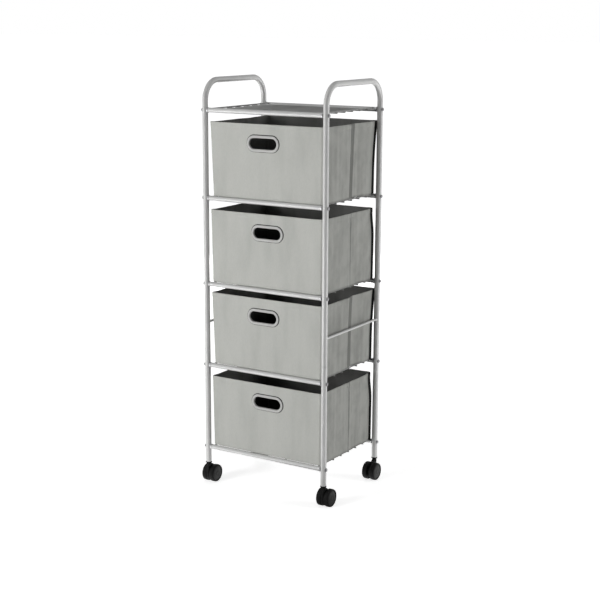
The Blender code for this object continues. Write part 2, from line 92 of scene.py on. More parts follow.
# Bolts, from the middle of the post: distance along the bolt or above the seat, and radius
BOLT_SIDES = 24
BOLT_SEAT = 0.0081
BOLT_POINT = ((-0.0243, 0), (-0.0243, 0.0023), (-0.0238, 0.0027))
BOLT_HEAD = (
    (0, 0.0027), (0, 0.0047), (0.0003, 0.005), (0.0012, 0.0049),
    (0.0022, 0.0042), (0.003, 0.003), (0.0034, 0.0015), (0.0035, 0),
)
RECESS_DEPTH, RECESS_LENGTH, RECESS_WIDTH = 0.0032, 0.0042, 0.0008

# Casters
CASTER_TRAIL = 0.016
WHEEL_RADIUS = 0.025
WHEEL_WIDTH = 0.0147
WHEEL_SIDES = 56
WHEEL_SIDE_GAP = 0.0008
WHEEL_TOP_GAP = 0.0015
WHEEL_FACE_DEPTH = 0.0016
WHEEL_FACE_MARGIN = 0.006
# Wheel's edges: distance in from the inner or outer face, and in from the tread
WHEEL_INNER_EDGE = (
    (0.0018, 0.005), (0.0004, 0.004), (0, 0.0034), (0, 0.0018), (0.0005, 0.0006), (0.0016, 0.0001))
WHEEL_OUTER_EDGE = (
    (0.0036, 0.0001), (0.0022, 0.0005), (0.001, 0.0014), (0.0003, 0.0026), (0, 0.004),
    (0.0001, 0.0052), (0.0006, 0.0058), (0.0014, 0.0062), (0.0014, 0.007), (0.0009, 0.0077))
# Hub: distance in from the inner or outer face, and radius
HUB_BORE = ((0.0107, 0), (0.0107, 0.0033), (0, 0.0033), (0, 0.0072), (0.0016, 0.008))
HUB_CAP = (
    (0.0006, 0.0125), (0.0004, 0.0078), (0.0009, 0.0073), (0.0009, 0.0067),
    (0.0003, 0.0061), (0.0001, 0.003), (0.0001, 0))
CASTER_WEB = 0.008
WEB_RADIUS = 0.0165
WEB_STEPS = 40
# Eased edge of the web: distance from its side, share of its outline
WEB_EASE = ((0.0, 0.96), (0.0003, 0.988), (0.001, 1.0))
HOOD_INSET = 0.0008
HOOD_TOP = math.radians(95)
HOOD_FOOT = math.radians(232)
HOOD_STEPS = 24
NECK_RADIUS = 0.00625
NECK_SIDES = 28
NECK_FOOT = 2 * WHEEL_RADIUS + WHEEL_TOP_GAP
NECK_TOP = NECK_FOOT + 0.0068
STEM_RADIUS = 0.004
# Axle: radius, sides, eased edge
AXLE = (0.003, 18, 0.0005)
AXLE_END_COVER = 0.0043
SOCKET_BORE = 0.0043
SOCKET_LIP = ((0, 0.0074), (0.0006, 0.0081), (0.0014, 0.0087))
PLUG_RADIUS = 0.0062
SOCKET_SIDES = 32

# Drawers: how far each bin's walls lean in at the bottom or stand back, and its side folds
OPEN_PLEAT = {"left": 0.009, "right": 0.0015, "pleat": True, "seed": 3.1}
CLOSED_CREASE = {"left": 0.004, "right": 0.0015, "pleat": False, "seed": 8.7}
BIN_POSES = {
    1: {**OPEN_PLEAT, "back": 0.0035},
    2: {**CLOSED_CREASE, "back": 0.0025},
    3: {**OPEN_PLEAT, "back": 0.005, "seed": 5.3},
    4: {**CLOSED_CREASE, "back": 0.0045, "seed": 11.9},
}
WALL = 0.003
WALL_STEP = 0.0055
WALL_ROWS = 34
BIN_FLOOR = 0.002
FLOOR_ROUND = 0.002
LINING_TOP = 0.004
LINING_ROWS = 18
# Painted shade: the lining darkens with depth below the rim
LINING_SHADE = (0.02, 0.12)
FRONT_CORNER = 0.006
BACK_CORNER = 0.01
CORNER_STEPS = 7
CORNER_FADE = 0.02
RIM_STEPS = 6
RIM_SAG = 0.0005
SIDE_RIM_SAG = 0.0014
HEM_HEIGHT = 0.013
HEM_RAISE = 0.0005
HEM_BLEND = 0.0012
HEM_ROWS = (-0.0012, -0.0004, 0.0004, 0.0014, 0.006)
# Dark tape down the back corners of the bins: a raised strip that paints shade where the corners
# turn away from the light
PAINTED_SHADE_TAPE_WIDTH = 0.009
PAINTED_SHADE_TAPE_RAISE = 0.0005
SEAM_CLEARANCE = 0.0015
SEAM_HALF_WIDTH = 0.0003
PULL_FLAT = (0.034, 0.02)
PULL_FLAT_STRETCH = 1.6

# The cloth's foot hangs a little below the floor, but not where the front bar lies at full travel
BOTTOM_RADIUS = 0.0015
BOTTOM_MARGIN = 0.0042
BOTTOM_STEPS = 4
HANG_HEIGHT = 0.03
HANG_INSET = 0.0025
FRONT_DROOP = 0.0011
SIDE_DROOP = 0.0022
DROOP_BLEND = 0.02
BAR_CROSSING = 0.0565
DROOP_END = BAR_CROSSING - 0.008
DROOP_END_AT_PLEAT = -0.006
DROOP_RESUMES = BAR_CROSSING + 0.012

# Folds half-way along the side walls
FOLD_START, FOLD_END, FOLD_STEP = -0.014, 0.044, 0.0012
FOLD_MARGIN = 0.002
# Start and end of a pleat's inward face, and the drift of each towards the rim
PLEAT_FACE = ((-0.0015, 0.0042), (0.0255, 0.0035))
PLEAT_DEPTH = 0.007
PLEAT_RECOVERY = 0.07
PLEAT_RIDGE = 0.0012
PLEAT_GAPE = 0.0022
GAPE_FOOT = (0.88, 0.02)
GAPE_TOP = (0.965, 0.015)
CREASE_PLACE = 0.009
CREASE_STEP = 0.0013
CREASE_RIDGE = 0.0009
CREASE_PUCKER = 0.0022
EDGE_DRAW = 0.036

# Side walls: random mottle, and painted shade in their folds, by the front edge and at the foot
SIDE_TONE = 0.12
SIDE_PATCHES = 0.28
SIDE_STREAKS = 0.24
CREASE_PAINTED_SHADE = 0.85
FRONT_EDGE_PAINTED_SHADE = 0.5
FOOT_PAINTED_SHADE = 0.8

# Finger pulls and base boards
GROMMET_FLANGE = 0.009
GROMMET_FLANGE_SEEN = 0.0077
GROMMET_SLEEVE = 0.003
# Rolled front: growth from the hole, depth behind the foremost edge
GROMMET_ROLL = (
    (0, 0.003), (0.0001, 0.0014), (0.0006, 0.0006), (0.0015, 0.0001),
    (0.0028, -0.0002), (0.005, -0.0002), (0.0062, 0.0001), (0.007, 0.0007))
GROMMET_SEAT = 0.0021
GROMMET_STEPS = 24
# The dark washer is a painted shade outline round the grommet, set off towards the right and top
# where the outline shows thicker
PAINTED_SHADE_WASHER_BORE = 0.0037
PAINTED_SHADE_WASHER_SET = Vector((0.0006, 0.0, 0.0005))
BOARD_CORNER = 0.009
BOARD_CORNER_STEPS = 5

# Studio
CAMERA_PLACE = (1.93638, -3.08609, 1.30808)
CAMERA_TURN = (1.359975, -0.004002, 0.555519)
CAMERA_LENS = 79.953
CAMERA_REACH = 200.0
LAMP_DISTANCE = 3.6
LAMP_AIM = Vector((0, 0, 0.55))
# Azimuth (0 in front, 90 at the right), elevation, width and height, and power
LAMPS = {
    "key": (-20, 4, (1.2, 1.6), 104),
    "side": (110, 5, (1.2, 1.8), 59),
    "back": (218, 8, (1.4, 1.8), 34),
}
AMBIENT = 0.14
# Where a reflection starts and stops to darken, and its level there
CEILING = (0.08, 0.55, 0.6)
DARK_SIDE = (0.45, 0.85, 0.05)
DARK_AZIMUTH = math.radians(35)
FLOOR_SIZE = 60.0
FLOOR_GLOW = (0.7, 0.94)
FLOOR_GLOW_REACH = (0.4, 3.2)
FLOOR_MIRRORED_GLOW = 0.9


# Meshes


def connect(bm, first, second):
    """Join two rings of vertices, or a ring and a point."""
    count = max(len(first), len(second))
    for i in range(count):
        j = (i + 1) % count
        if len(first) == 1:
            bm.faces.new((first[0], second[j], second[i]))
        elif len(second) == 1:
            bm.faces.new((first[i], first[j], second[0]))
        else:
            bm.faces.new((first[i], first[j], second[j], second[i]))


def loft(bm, rings, capped=False, closed=False):
    """Join each ring to the next, and fill the end rings or join the last to the first."""
    for first, second in zip(rings, rings[1:]):
        connect(bm, first, second)
    if closed:
        connect(bm, rings[-1], rings[0])
    if capped:
        bm.faces.new(rings[0])
        bm.faces.new(rings[-1])


def turned(bm, origin, axis, profile, sides, closed=False):
    """Turn (distance along axis, radius) pairs about an axis."""
    origin = Vector(origin)
    axis = Vector(axis).normalized()
    across = axis.orthogonal().normalized()
    up = axis.cross(across)
    angles = [2 * math.pi * (i + 0.5) / sides for i in range(sides)]
    spokes = [across * math.cos(angle) + up * math.sin(angle) for angle in angles]
    rings = []
    for along, radius in profile:
        centre = origin + axis * along
        if radius == 0:
            rings.append([bm.verts.new(centre)])
        else:
            rings.append([bm.verts.new(centre + spoke * radius) for spoke in spokes])
    loft(bm, rings, closed=closed)


def eased_end(radius, edge):
    """(distance from the end, radius) pairs of a rod's eased end."""
    start, ease = (0, radius - edge), (edge * 0.3, radius - edge * 0.3)
    return [start, ease, (edge, radius), (edge * 3, radius)]


def rod(bm, start, end, radius, sides, edge):
    """Straight round rod with eased ends."""
    start, end = Vector(start), Vector(end)
    length = (end - start).length
    foot = [(0, 0)] + eased_end(radius, edge)
    profile = foot + [(length - along, r) for along, r in reversed(foot)]
    turned(bm, start, end - start, profile, sides)


def blob(bm, centre, size):
    """Small lump of weld."""
    made = bmesh.ops.create_icosphere(bm, subdivisions=2, radius=1.0)
    matrix = Matrix.Translation(centre) @ Matrix.Diagonal((*size, 1.0))
    bmesh.ops.transform(bm, matrix=matrix, verts=made["verts"])


def shade(mesh, materials, angle):
    """Smooth a mesh, with sharp edges above an angle, and give it its materials."""
    mesh.shade_smooth()
    mesh.set_sharp_from_angle(angle=math.radians(angle))
    for material in materials:
        mesh.materials.append(material)
    return mesh


def finish_mesh(bm, name, materials, angle=42):
    """Turn a bmesh into a smoothed mesh with outward faces."""
    bmesh.ops.recalc_face_normals(bm, faces=bm.faces)
    mesh = bpy.data.meshes.new(name)
    bm.to_mesh(mesh)
    bm.free()
    return shade(mesh, materials, angle)


def new_object(name, data):
    obj = bpy.data.objects.new(name, data)
    bpy.context.scene.collection.objects.link(obj)
    return obj


def cut(mesh, cutters, name, materials, angle=35):
    """Cut a bmesh of closed solids out of a mesh."""
    tools = finish_mesh(cutters, "cutter", [])
    pair = [new_object("operand", m) for m in (mesh, tools)]
    modifier = pair[0].modifiers.new("cut", "BOOLEAN")
    modifier.operation = "DIFFERENCE"
    modifier.solver = "EXACT"
    modifier.object = pair[1]
    evaluated = pair[0].evaluated_get(bpy.context.evaluated_depsgraph_get())
    result = bpy.data.meshes.new_from_object(evaluated)
    for obj in pair:
        bpy.data.objects.remove(obj, do_unlink=True)
    result.name = name
    result.materials.clear()
    return shade(result, materials, angle)


def add_piece(name, mesh, body, replaces=(), matrix=None):
    """Put a mesh in the scene as one piece that rides on a CAD body."""
    obj = new_object(name, mesh)
    if matrix:
        obj.matrix_world = matrix
    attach(obj, body)
    if replaces:
        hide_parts(*replaces)


def build_piece(bm, name, materials, body, replaces=(), angle=42):
    add_piece(name, finish_mesh(bm, name, materials, angle), body, replaces)


def facing(side, place):
    """Place of a piece modelled along +X, turned round for a left side."""
    return Matrix.Translation(place) @ Matrix.Rotation(0 if side > 0 else math.pi, 4, "Z")


def centre_of(node):
    low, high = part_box(node)
    return (low + high) / 2


# Materials


def grey(level):
    return (level, level, level)


def scaled(color, factor):
    return tuple(c * factor for c in color)


def set_inputs(node, values):
    for name, value in values.items():
        node.inputs[name].default_value = value


def add_node(tree, kind, values=None):
    """Add a shader node, with values for its inputs."""
    node = tree.nodes.new("ShaderNode" + kind)
    set_inputs(node, values or {})
    return node


def link(output, node, name):
    """Lead an output into a node's input."""
    output.id_data.links.new(output, node.inputs[name])


def new_material(name, color, roughness, metallic=0.0, sheen=0.0, specular=0.5):
    material = bpy.data.materials.new(name)
    material.use_nodes = True
    material.diffuse_color = (*color, 1.0)
    shader = material.node_tree.nodes["Principled BSDF"]
    set_inputs(shader, {"Base Color": (*color, 1.0), "Roughness": roughness, "Metallic": metallic})
    set_inputs(shader, {"Sheen Weight": sheen, "Specular IOR Level": specular})
    return material, material.node_tree, shader


def noise_node(tree, scale, detail=3.0, stretch=(1, 1, 1)):
    """Noise over the object's own coordinates, drawn out by stretch."""
    mapping = add_node(tree, "Mapping", {"Scale": stretch})
    texture = add_node(tree, "TexNoise", {"Scale": scale, "Detail": detail})
    link(add_node(tree, "TexCoord").outputs["Object"], mapping, "Vector")
    link(mapping.outputs["Vector"], texture, "Vector")
    return texture.outputs["Fac"]


def ramp(value, stops):
    """Colours by value, from (position, colour) stops."""
    node = add_node(value.id_data, "ValToRGB")
    while len(node.color_ramp.elements) < len(stops):
        node.color_ramp.elements.new(0.5)
    for element, (position, color) in zip(node.color_ramp.elements, stops):
        element.position = position
        element.color = (*color, 1.0)
    link(value, node, "Fac")
    return node.outputs["Color"]


def spread(value, low, high, start=0.3, end=0.7):
    """Carry a value from start..end to low..high."""
    limits = {"From Min": start, "From Max": end, "To Min": low, "To Max": high}
    node = add_node(value.id_data, "MapRange", limits)
    link(value, node, "Value")
    return node.outputs["Result"]


def falloff(value, start, end, level):
    """1 up to start, then smoothly down to level at end."""
    result = spread(value, 1.0, level, start, end)
    result.node.interpolation_type = "SMOOTHSTEP"
    return result


def multiply(first, second):
    """Product of two colours."""
    node = add_node(first.id_data, "Mix")
    node.data_type = "RGBA"
    node.blend_type = "MULTIPLY"
    set_inputs(node, {"Factor": 1.0})
    link(first, node, "A")
    link(second, node, "B")
    return node.outputs["Result"]


def math_node(operation, first, second):
    node = add_node(first.id_data, "Math")
    node.operation = operation
    link(first, node, 0)
    link(second, node, 1)
    return node.outputs["Value"]


def vector_node(operation, first):
    node = add_node(first.id_data, "VectorMath")
    node.operation = operation
    link(first, node, 0)
    return node


def surface(shader, color, roughness, height, distance, strength):
    """Give a shader its colour, roughness and relief."""
    relief = add_node(height.id_data, "Bump", {"Distance": distance, "Strength": strength})
    link(height, relief, "Height")
    link(relief.outputs["Normal"], shader, "Normal")
    link(color, shader, "Base Color")
    link(roughness, shader, "Roughness")


def paint_material(name, color, roughness, metallic):
    """Powder coat: fine orange peel, and some drift in tone and gloss."""
    material, tree, shader = new_material(name, color, roughness, metallic)
    drift = [(0.3, scaled(color, 0.94)), (0.7, scaled(color, 1.04))]
    tone = ramp(noise_node(tree, scale=9, detail=4), drift)
    grain = ramp(noise_node(tree, scale=1600, detail=2), [(0.3, grey(0.93)), (0.7, grey(1.0))])
    gloss = spread(noise_node(tree, scale=60), roughness - 0.05, roughness + 0.07)
    peel = noise_node(tree, scale=700, detail=2)
    surface(shader, multiply(tone, grain), gloss, peel, distance=0.00005, strength=0.5)
    return material


def plated_material(name, color, roughness):
    """Zinc plating: dull, with a fine brushed grain."""
    material, tree, shader = new_material(name, color, roughness, metallic=1.0)
    tone = ramp(noise_node(tree, scale=240, detail=4), [(0.3, scaled(color, 0.82)), (0.7, color)])
    brushing = noise_node(tree, scale=500, detail=2, stretch=(1, 8, 1))
    gloss = spread(brushing, roughness - 0.08, roughness + 0.1)
    grain = noise_node(tree, scale=900, detail=2)
    surface(shader, tone, gloss, grain, distance=0.00003, strength=0.4)
    return material


def moulded_material(name, color, roughness, grain, scuff, specular):
    """Moulded plastic: fine grain and faint handling marks."""
    material, tree, shader = new_material(name, color, roughness, specular=specular)
    scuffed = tuple(c + scuff for c in color)
    marks = ramp(noise_node(tree, scale=70, detail=6), [(0.5, color), (0.8, scuffed)])
    gloss = spread(noise_node(tree, scale=160, detail=4), roughness - 0.06, roughness + 0.1)
    pits = noise_node(tree, scale=1800, detail=2)
    surface(shader, marks, gloss, pits, distance=grain, strength=0.6)
    return material


def weave_height(tree, pitch):
    """Plain weave of threads round and up the wall."""
    place = add_node(tree, "TexCoord").outputs["UV"]
    threads = {"Scale": math.pi / 10 / pitch, "Distortion": 1.2, "Detail": 1.0}
    waves = []
    for direction in ("X", "Y"):
        wave = add_node(tree, "TexWave", threads)
        wave.bands_direction = direction
        link(place, wave, "Vector")
        waves.append(wave.outputs["Fac"])
    return math_node("ADD", *waves)


def cloth_material(name, color, contrast, pitch, streak=(1, 1, 1), sheen=0.0, painted_shade_and_mottle_level=None):
    """Woven cloth: clouds drawn out up the wall, slubs and a plain weave."""
    material, tree, shader = new_material(name, color, 0.92, sheen=sheen, specular=0.08)
    dark, light = scaled(color, 1 - contrast), scaled(color, 1 + contrast * 0.6)
    clouds = noise_node(tree, scale=26, detail=5, stretch=streak)
    clouds = ramp(clouds, [(0.28, dark), (0.5, color), (0.74, light)])
    slubs = noise_node(tree, scale=420, stretch=(1, 1, 0.35))
    tone = multiply(clouds, ramp(slubs, [(0.3, grey(0.95)), (0.65, grey(1.0))]))
    # Painted shade from the mesh's crease mark: darker folds, edges, foot and lining depth, with
    # the side walls' random mottle
    if painted_shade_and_mottle_level:
        mark = add_node(tree, "Attribute")
        mark.attribute_name = "crease"
        tone = multiply(tone, ramp(mark.outputs["Fac"], [(0.0, grey(1.0)), (1.0, grey(painted_shade_and_mottle_level))]))
    gloss = spread(noise_node(tree, scale=90), 0.84, 0.97)
    height = math_node("ADD", weave_height(tree, pitch), noise_node(tree, scale=380))
    surface(shader, tone, gloss, height, distance=0.00022, strength=0.55)
    return material


def ray_kinds(tree):
    """Whether a ray was reflected or let through, and whether it is the camera's own."""
    path = add_node(tree, "LightPath").outputs
    sent_on = math_node("MAXIMUM", path["Is Glossy Ray"], path["Is Transmission Ray"])
    return sent_on, path["Is Camera Ray"]


def dark_side(place):
    """Darker right-hand side of the studio that reflections see, by direction."""
    share = vector_node("DOT_PRODUCT", vector_node("NORMALIZE", place).outputs["Vector"])
    share.inputs[1].default_value = (math.sin(DARK_AZIMUTH), -math.cos(DARK_AZIMUTH), 0.0)
    return falloff(share.outputs["Value"], *DARK_SIDE)


def floor_material():
    """Pale floor, seen as near white but for the object's shadow."""
    material, tree, shader = new_material("studio_floor", grey(0.86), 0.9)
    tone = ramp(noise_node(tree, scale=0.6, detail=2), [(0.3, grey(0.855)), (0.7, grey(0.87))])
    link(tone, shader, "Base Color")
    place = add_node(tree, "TexCoord").outputs["Object"]
    distance = vector_node("LENGTH", place).outputs["Value"]
    reflected, camera = ray_kinds(tree)
    shown = math_node("MULTIPLY", camera, spread(distance, *FLOOR_GLOW, *FLOOR_GLOW_REACH))
    mirrored = spread(reflected, 0.0, FLOOR_MIRRORED_GLOW, 0.0, 1.0)
    mirrored = math_node("MULTIPLY", mirrored, dark_side(place))
    set_inputs(shader, {"Emission Color": (1, 1, 1, 1)})
    link(math_node("MAXIMUM", shown, mirrored), shader, "Emission Strength")
    return material


SILVER = paint_material("silver_powder_coat", (0.62, 0.62, 0.615), roughness=0.38, metallic=0.5)
# Darker copy of the silver coat for the shelf wires: painted shade
PAINTED_SHADE_WIRE_SILVER = paint_material("silver_wire_coat_painted_shade", (0.35, 0.35, 0.346), roughness=0.5, metallic=0.5)
ZINC = plated_material("zinc_plate", (0.42, 0.42, 0.43), roughness=0.32)
RING = plated_material("bright_end_ring", (0.72, 0.72, 0.73), roughness=0.26)
CLOTH = cloth_material(
    "grey_cloth", (0.445, 0.45, 0.425), contrast=0.09, pitch=0.0011,
    streak=(1, 1, 0.22), sheen=0.06, painted_shade_and_mottle_level=0.48)
LINING = cloth_material(
    "dark_lining", (0.23, 0.23, 0.222), contrast=0.22, pitch=0.0012,
    streak=(1, 1, 0.4), painted_shade_and_mottle_level=0.42)
# Dark cloth for the corner tape and the grommet washer: painted shade
PAINTED_SHADE_CLOTH = cloth_material("painted_shade_dark_cloth", grey(0.016), contrast=0.2, pitch=0.0008)
BOARD = cloth_material("dark_board_cloth", (0.045, 0.045, 0.043), contrast=0.2, pitch=0.0012)
GREY_PLASTIC = moulded_material(
    "grey_moulded_plastic", (0.43, 0.43, 0.42), roughness=0.42,
    grain=0.00003, scuff=0.02, specular=0.4)
BLACK_PLASTIC = moulded_material(
    "black_moulded_plastic", grey(0.006), roughness=0.5, grain=0.00004, scuff=0.006, specular=0.12)
WHEEL_PLASTIC = moulded_material(
    "black_wheel_plastic_look", grey(0.008), roughness=0.5,
    grain=0.00006, scuff=0.006, specular=0.12)
WHEEL_FACE = moulded_material(
    "black_wheel_face", grey(0.022), roughness=0.45, grain=0.00003, scuff=0.008, specular=0.2)


# Frame pieces


def bent_tube(bm, x, foot, top):
    """Bent tube with eased ends, up the front and down the back."""
    bend_y, bend_z = POST_Y - HANDLE_BEND_RADIUS, top - HANDLE_BEND_RADIUS
    ends = ((0, TUBE_RADIUS - TUBE_EDGE), (TUBE_EDGE, TUBE_RADIUS), (3 * TUBE_EDGE, TUBE_RADIUS))
    rows = [(-POST_Y, foot + up, 0.0, radius) for up, radius in ends]
    for side, first in ((-1, 0.0), (1, math.pi / 2)):
        for step in range(BEND_STEPS + 1):
            turn = first + step * math.pi / 2 / BEND_STEPS
            y = side * bend_y - HANDLE_BEND_RADIUS * math.cos(turn)
            rows.append((y, bend_z + HANDLE_BEND_RADIUS * math.sin(turn), turn, TUBE_RADIUS))
    rows += [(POST_Y, foot + up, math.pi, radius) for up, radius in reversed(ends)]
    rings = []
    for y, z, turn, radius in rows:
        ring = []
        for i in range(TUBE_SIDES):
            angle = 2 * math.pi * (i + 0.5) / TUBE_SIDES
            across, reach = radius * math.cos(angle), radius * math.sin(angle)
            spot = (x + across, y - math.cos(turn) * reach, z + math.sin(turn) * reach)
            ring.append(bm.verts.new(spot))
        rings.append(ring)
    loft(bm, rings, capped=True)


def weld_ring(bm, centre, axis, radius):
    """Fillet of weld round a rod where it meets a tube."""
    core = radius * WELD_CORE
    profile = [(along, radius + height) for along, height in WELD_FILLET]
    profile = [(profile[0][0], core)] + profile + [(profile[-1][0], core)]
    turned(bm, centre, axis, profile, WELD_SIDES, closed=True)


def build_side_frames():
    for name in ("left", "right"):
        node = f"{name}_side_frame"
        low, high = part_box(node)
        bm = bmesh.new()
        x = (low.x + high.x) / 2
        bent_tube(bm, x, low.z, HANDLE_CENTRE)
        ends = [(x, sy * POST_Y, BRACE_HEIGHT) for sy in (-1, 1)]
        rod(bm, *ends, BRACE_RADIUS, BRACE_SIDES, TUBE_EDGE)
        for sy in (-1, 1):
            weld_ring(bm, (x, sy * (POST_Y - TUBE_RADIUS), BRACE_HEIGHT), (0, -sy, 0), BRACE_RADIUS)
        build_piece(bm, node + "_tube", [SILVER], ROOT, [node])


def build_legs():
    """Lower legs: open tubes with a neck that plugs into the side frames."""
    for corner in CORNERS:
        node = f"{corner}_leg"
        low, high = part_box(node)
        x, y = centre_of(node).xy
        joint, top = LEG_JOINT - SEAT_GAP - low.z, high.z - low.z
        eased = eased_end(TUBE_RADIUS, TUBE_EDGE)
        profile = [(0, LEG_BORE), *eased]
        profile += [(joint - along, radius) for along, radius in reversed(eased)]
        profile += [(joint, SPIGOT_RADIUS), (top - TUBE_EDGE, SPIGOT_RADIUS)]
        profile += [(top, SPIGOT_RADIUS - TUBE_EDGE), (top, SPIGOT_BORE)]
        profile += [(joint - SPIGOT_NECK[0], SPIGOT_BORE), (joint - SPIGOT_NECK[1], LEG_BORE)]
        bm = bmesh.new()
        turned(bm, (x, y, low.z), (0, 0, 1), profile, TUBE_SIDES, closed=True)
        build_piece(bm, node + "_tube", [SILVER], ROOT, [node])


def shelf_wires(bm, z, end):
    """Wires along the width, wires across above and below them, and their welds."""
    cross_end = end - CROSS_WIRE_MARGIN
    cross_x = [cross_end * (2 * i / (CROSS_WIRES - 1) - 1) for i in range(CROSS_WIRES)]
    long_y = [POST_Y * (2 * (i + 1) / (LONG_WIRES + 1) - 1) for i in range(LONG_WIRES)]
    long_z = z + LONG_WIRE_HEIGHT
    long_end = end - LONG_WIRE_GAP
    for x in cross_x:
        cross_z = long_z + (WIRE_STEP if x in (cross_x[0], cross_x[-1]) else -WIRE_STEP)
        rod(bm, (x, -POST_Y, cross_z), (x, POST_Y, cross_z), *CROSS_WIRE)
        for sy in (-1, 1):
            blob(bm, (x, sy * (POST_Y - BAR_RADIUS + BAR_WELD_OUT), cross_z), BAR_WELD)
        for y in long_y:
            blob(bm, (x, y, (cross_z + long_z) / 2), WIRE_WELD)
    for y in long_y:
        rod(bm, (-long_end, y, long_z), (long_end, y, long_z), *LONG_WIRE)


def end_rings(z, end):
    """Bright rings at the four bar ends of a shelf."""
    shoulder = BAR_RING_RADIUS - BAR_RING_EDGE
    profile = [(0, BAR_RING_BORE), (0, shoulder), (BAR_RING_EDGE, BAR_RING_RADIUS)]
    profile += [(BAR_RING_LENGTH - along, radius) for along, radius in reversed(profile)]
    bm = bmesh.new()
    for sx in (-1, 1):
        for sy in (-1, 1):
            turned(bm, (sx * end, sy * POST_Y, z), (-sx, 0, 0), profile, BAR_SIDES, closed=True)
    return bm


def build_shelves():
    for node in SHELVES:
        low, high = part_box(node)
        z, end = (low.z + high.z) / 2, high.x
        bm = bmesh.new()
        for sy in (-1, 1):
            rod(bm, (-end, sy * POST_Y, z), (end, sy * POST_Y, z), BAR_RADIUS, BAR_SIDES, BAR_EDGE)
        bars = len(bm.faces)
        shelf_wires(bm, z, end)
        # Bars take the silver coat, wires its darker copy, which is painted shade
        for i, face in enumerate(bm.faces):
            face.material_index = int(i >= bars)
        coats = [SILVER, PAINTED_SHADE_WIRE_SILVER]
        build_piece(bm, node + "_wirework", coats, ROOT, [node])
        build_piece(end_rings(z, end), node + "_end_rings", [RING], ROOT)


def bolt_mesh():
    """Domed bolt along +X from the middle of the post, with a cross recess in its head."""
    head = [(BOLT_SEAT + along, radius) for along, radius in BOLT_HEAD]
    bm = bmesh.new()
    turned(bm, (0, 0, 0), (1, 0, 0), [*BOLT_POINT, *head], BOLT_SIDES)
    mesh = finish_mesh(bm, "bolt", [ZINC])
    for size in ((RECESS_LENGTH, RECESS_WIDTH), (RECESS_WIDTH, RECESS_LENGTH)):
        slot = bmesh.new()
        place = Matrix.Translation((head[-1][0], 0, 0))
        matrix = place @ Matrix.Diagonal((RECESS_DEPTH, *size, 1.0))
        bmesh.ops.create_cube(slot, size=1.0, matrix=matrix)
        mesh = cut(mesh, slot, "shelf_bolt", [ZINC])
    return mesh


def build_bolts():
    mesh = bolt_mesh()
    for shelf in SHELVES:
        z = centre_of(shelf).z
        for corner, (sx, sy) in CORNERS.items():
            node = f"{shelf}_bolt_{corner}"
            matrix = facing(sx, (sx * POST_X, sy * POST_Y, z))
            add_piece(node + "_domed", mesh, ROOT, [node], matrix)


# Casters


def build_sockets():
    """Plugs in the open ends of the legs, with a collar below."""
    for corner in CORNERS:
        node = f"{corner}_caster_socket"
        low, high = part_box(node)
        x, y = centre_of(node).xy
        collar = high.x - x
        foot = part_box(f"{corner}_leg")[0].z - low.z
        seat, top = foot - SEAT_GAP, high.z - low.z
        bm = bmesh.new()
        profile = [(0, SOCKET_BORE), *SOCKET_LIP, (0.002, collar)]
        profile += [(foot - 0.0008, collar), (seat, collar - 0.0004), (seat, PLUG_RADIUS + 0.0002)]
        profile += [(foot + 0.0002, PLUG_RADIUS), (top, PLUG_RADIUS), (top, SOCKET_BORE)]
        turned(bm, (x, y, low.z), (0, 0, 1), profile, SOCKET_SIDES, closed=True)
        build_piece(bm, node + "_plug", [BLACK_PLASTIC], ROOT, [node])


def hull(points):
    """Convex outline of 2D points."""
    points = sorted({(round(a, 9), round(b, 9)) for a, b in points})

    def half(sequence):
        chain = []
        for p in sequence:
            while len(chain) > 1:
                (ax, ay), (bx, by) = chain[-2:]
                if (bx - ax) * (p[1] - ay) - (by - ay) * (p[0] - ax) > 0:
                    break
                chain.pop()
            chain.append(p)
        return chain[:-1]

    return half(points) + half(reversed(points))


def web_outline(trail):
    """Side view of the web and its hood, with the axle at trail from the stem."""
    points = [(side * NECK_RADIUS, z) for side in (-1, 1) for z in (NECK_FOOT, NECK_TOP - SEAT_GAP)]
    back = math.copysign(1, trail)
    web = (WEB_RADIUS, 0.0, 2 * math.pi, WEB_STEPS)
    hood = (WHEEL_RADIUS - HOOD_INSET, HOOD_TOP, HOOD_FOOT, HOOD_STEPS)
    for radius, first, last, steps in (web, hood):
        for i in range(steps + 1):
            angle = first + (last - first) * i / steps
            y = trail + back * radius * math.cos(angle)
            points.append((y, WHEEL_RADIUS + radius * math.sin(angle)))
    return [Vector(p) for p in hull(points)]


def housing_bmesh(x, y, trail, top):
    """Web between the wheels, swivel neck, stem and axle."""
    outline = web_outline(trail)
    middle = Vector((sum(p.x for p in outline), sum(p.y for p in outline))) / len(outline)
    half = CASTER_WEB / 2
    levels = [(depth - half, share) for depth, share in WEB_EASE]
    levels += [(-level, share) for level, share in reversed(levels)]
    bm = bmesh.new()
    rings = []
    for level, share in levels:
        points = [middle + (p - middle) * share for p in outline]
        rings.append([bm.verts.new((x + level, y + p.x, p.y)) for p in points])
    loft(bm, rings, capped=True)
    root = NECK_FOOT - 0.004
    profile = [(root, 0), (root, NECK_RADIUS - 0.001), (NECK_FOOT, NECK_RADIUS)]
    profile += [(NECK_TOP - 0.0012, NECK_RADIUS), (NECK_TOP - 0.0004, NECK_RADIUS - 0.0003)]
    profile += [(NECK_TOP, NECK_RADIUS - 0.001), (NECK_TOP, STEM_RADIUS)]
    profile += [(top - 0.002, STEM_RADIUS), (top, STEM_RADIUS - 0.0016), (top, 0)]
    turned(bm, (x, y, 0), (0, 0, 1), profile, NECK_SIDES)
    reach = half + WHEEL_SIDE_GAP + WHEEL_WIDTH - AXLE_END_COVER
    ends = [(x + side * reach, y + trail, WHEEL_RADIUS) for side in (-1, 1)]
    rod(bm, *ends, *AXLE)
    return bm


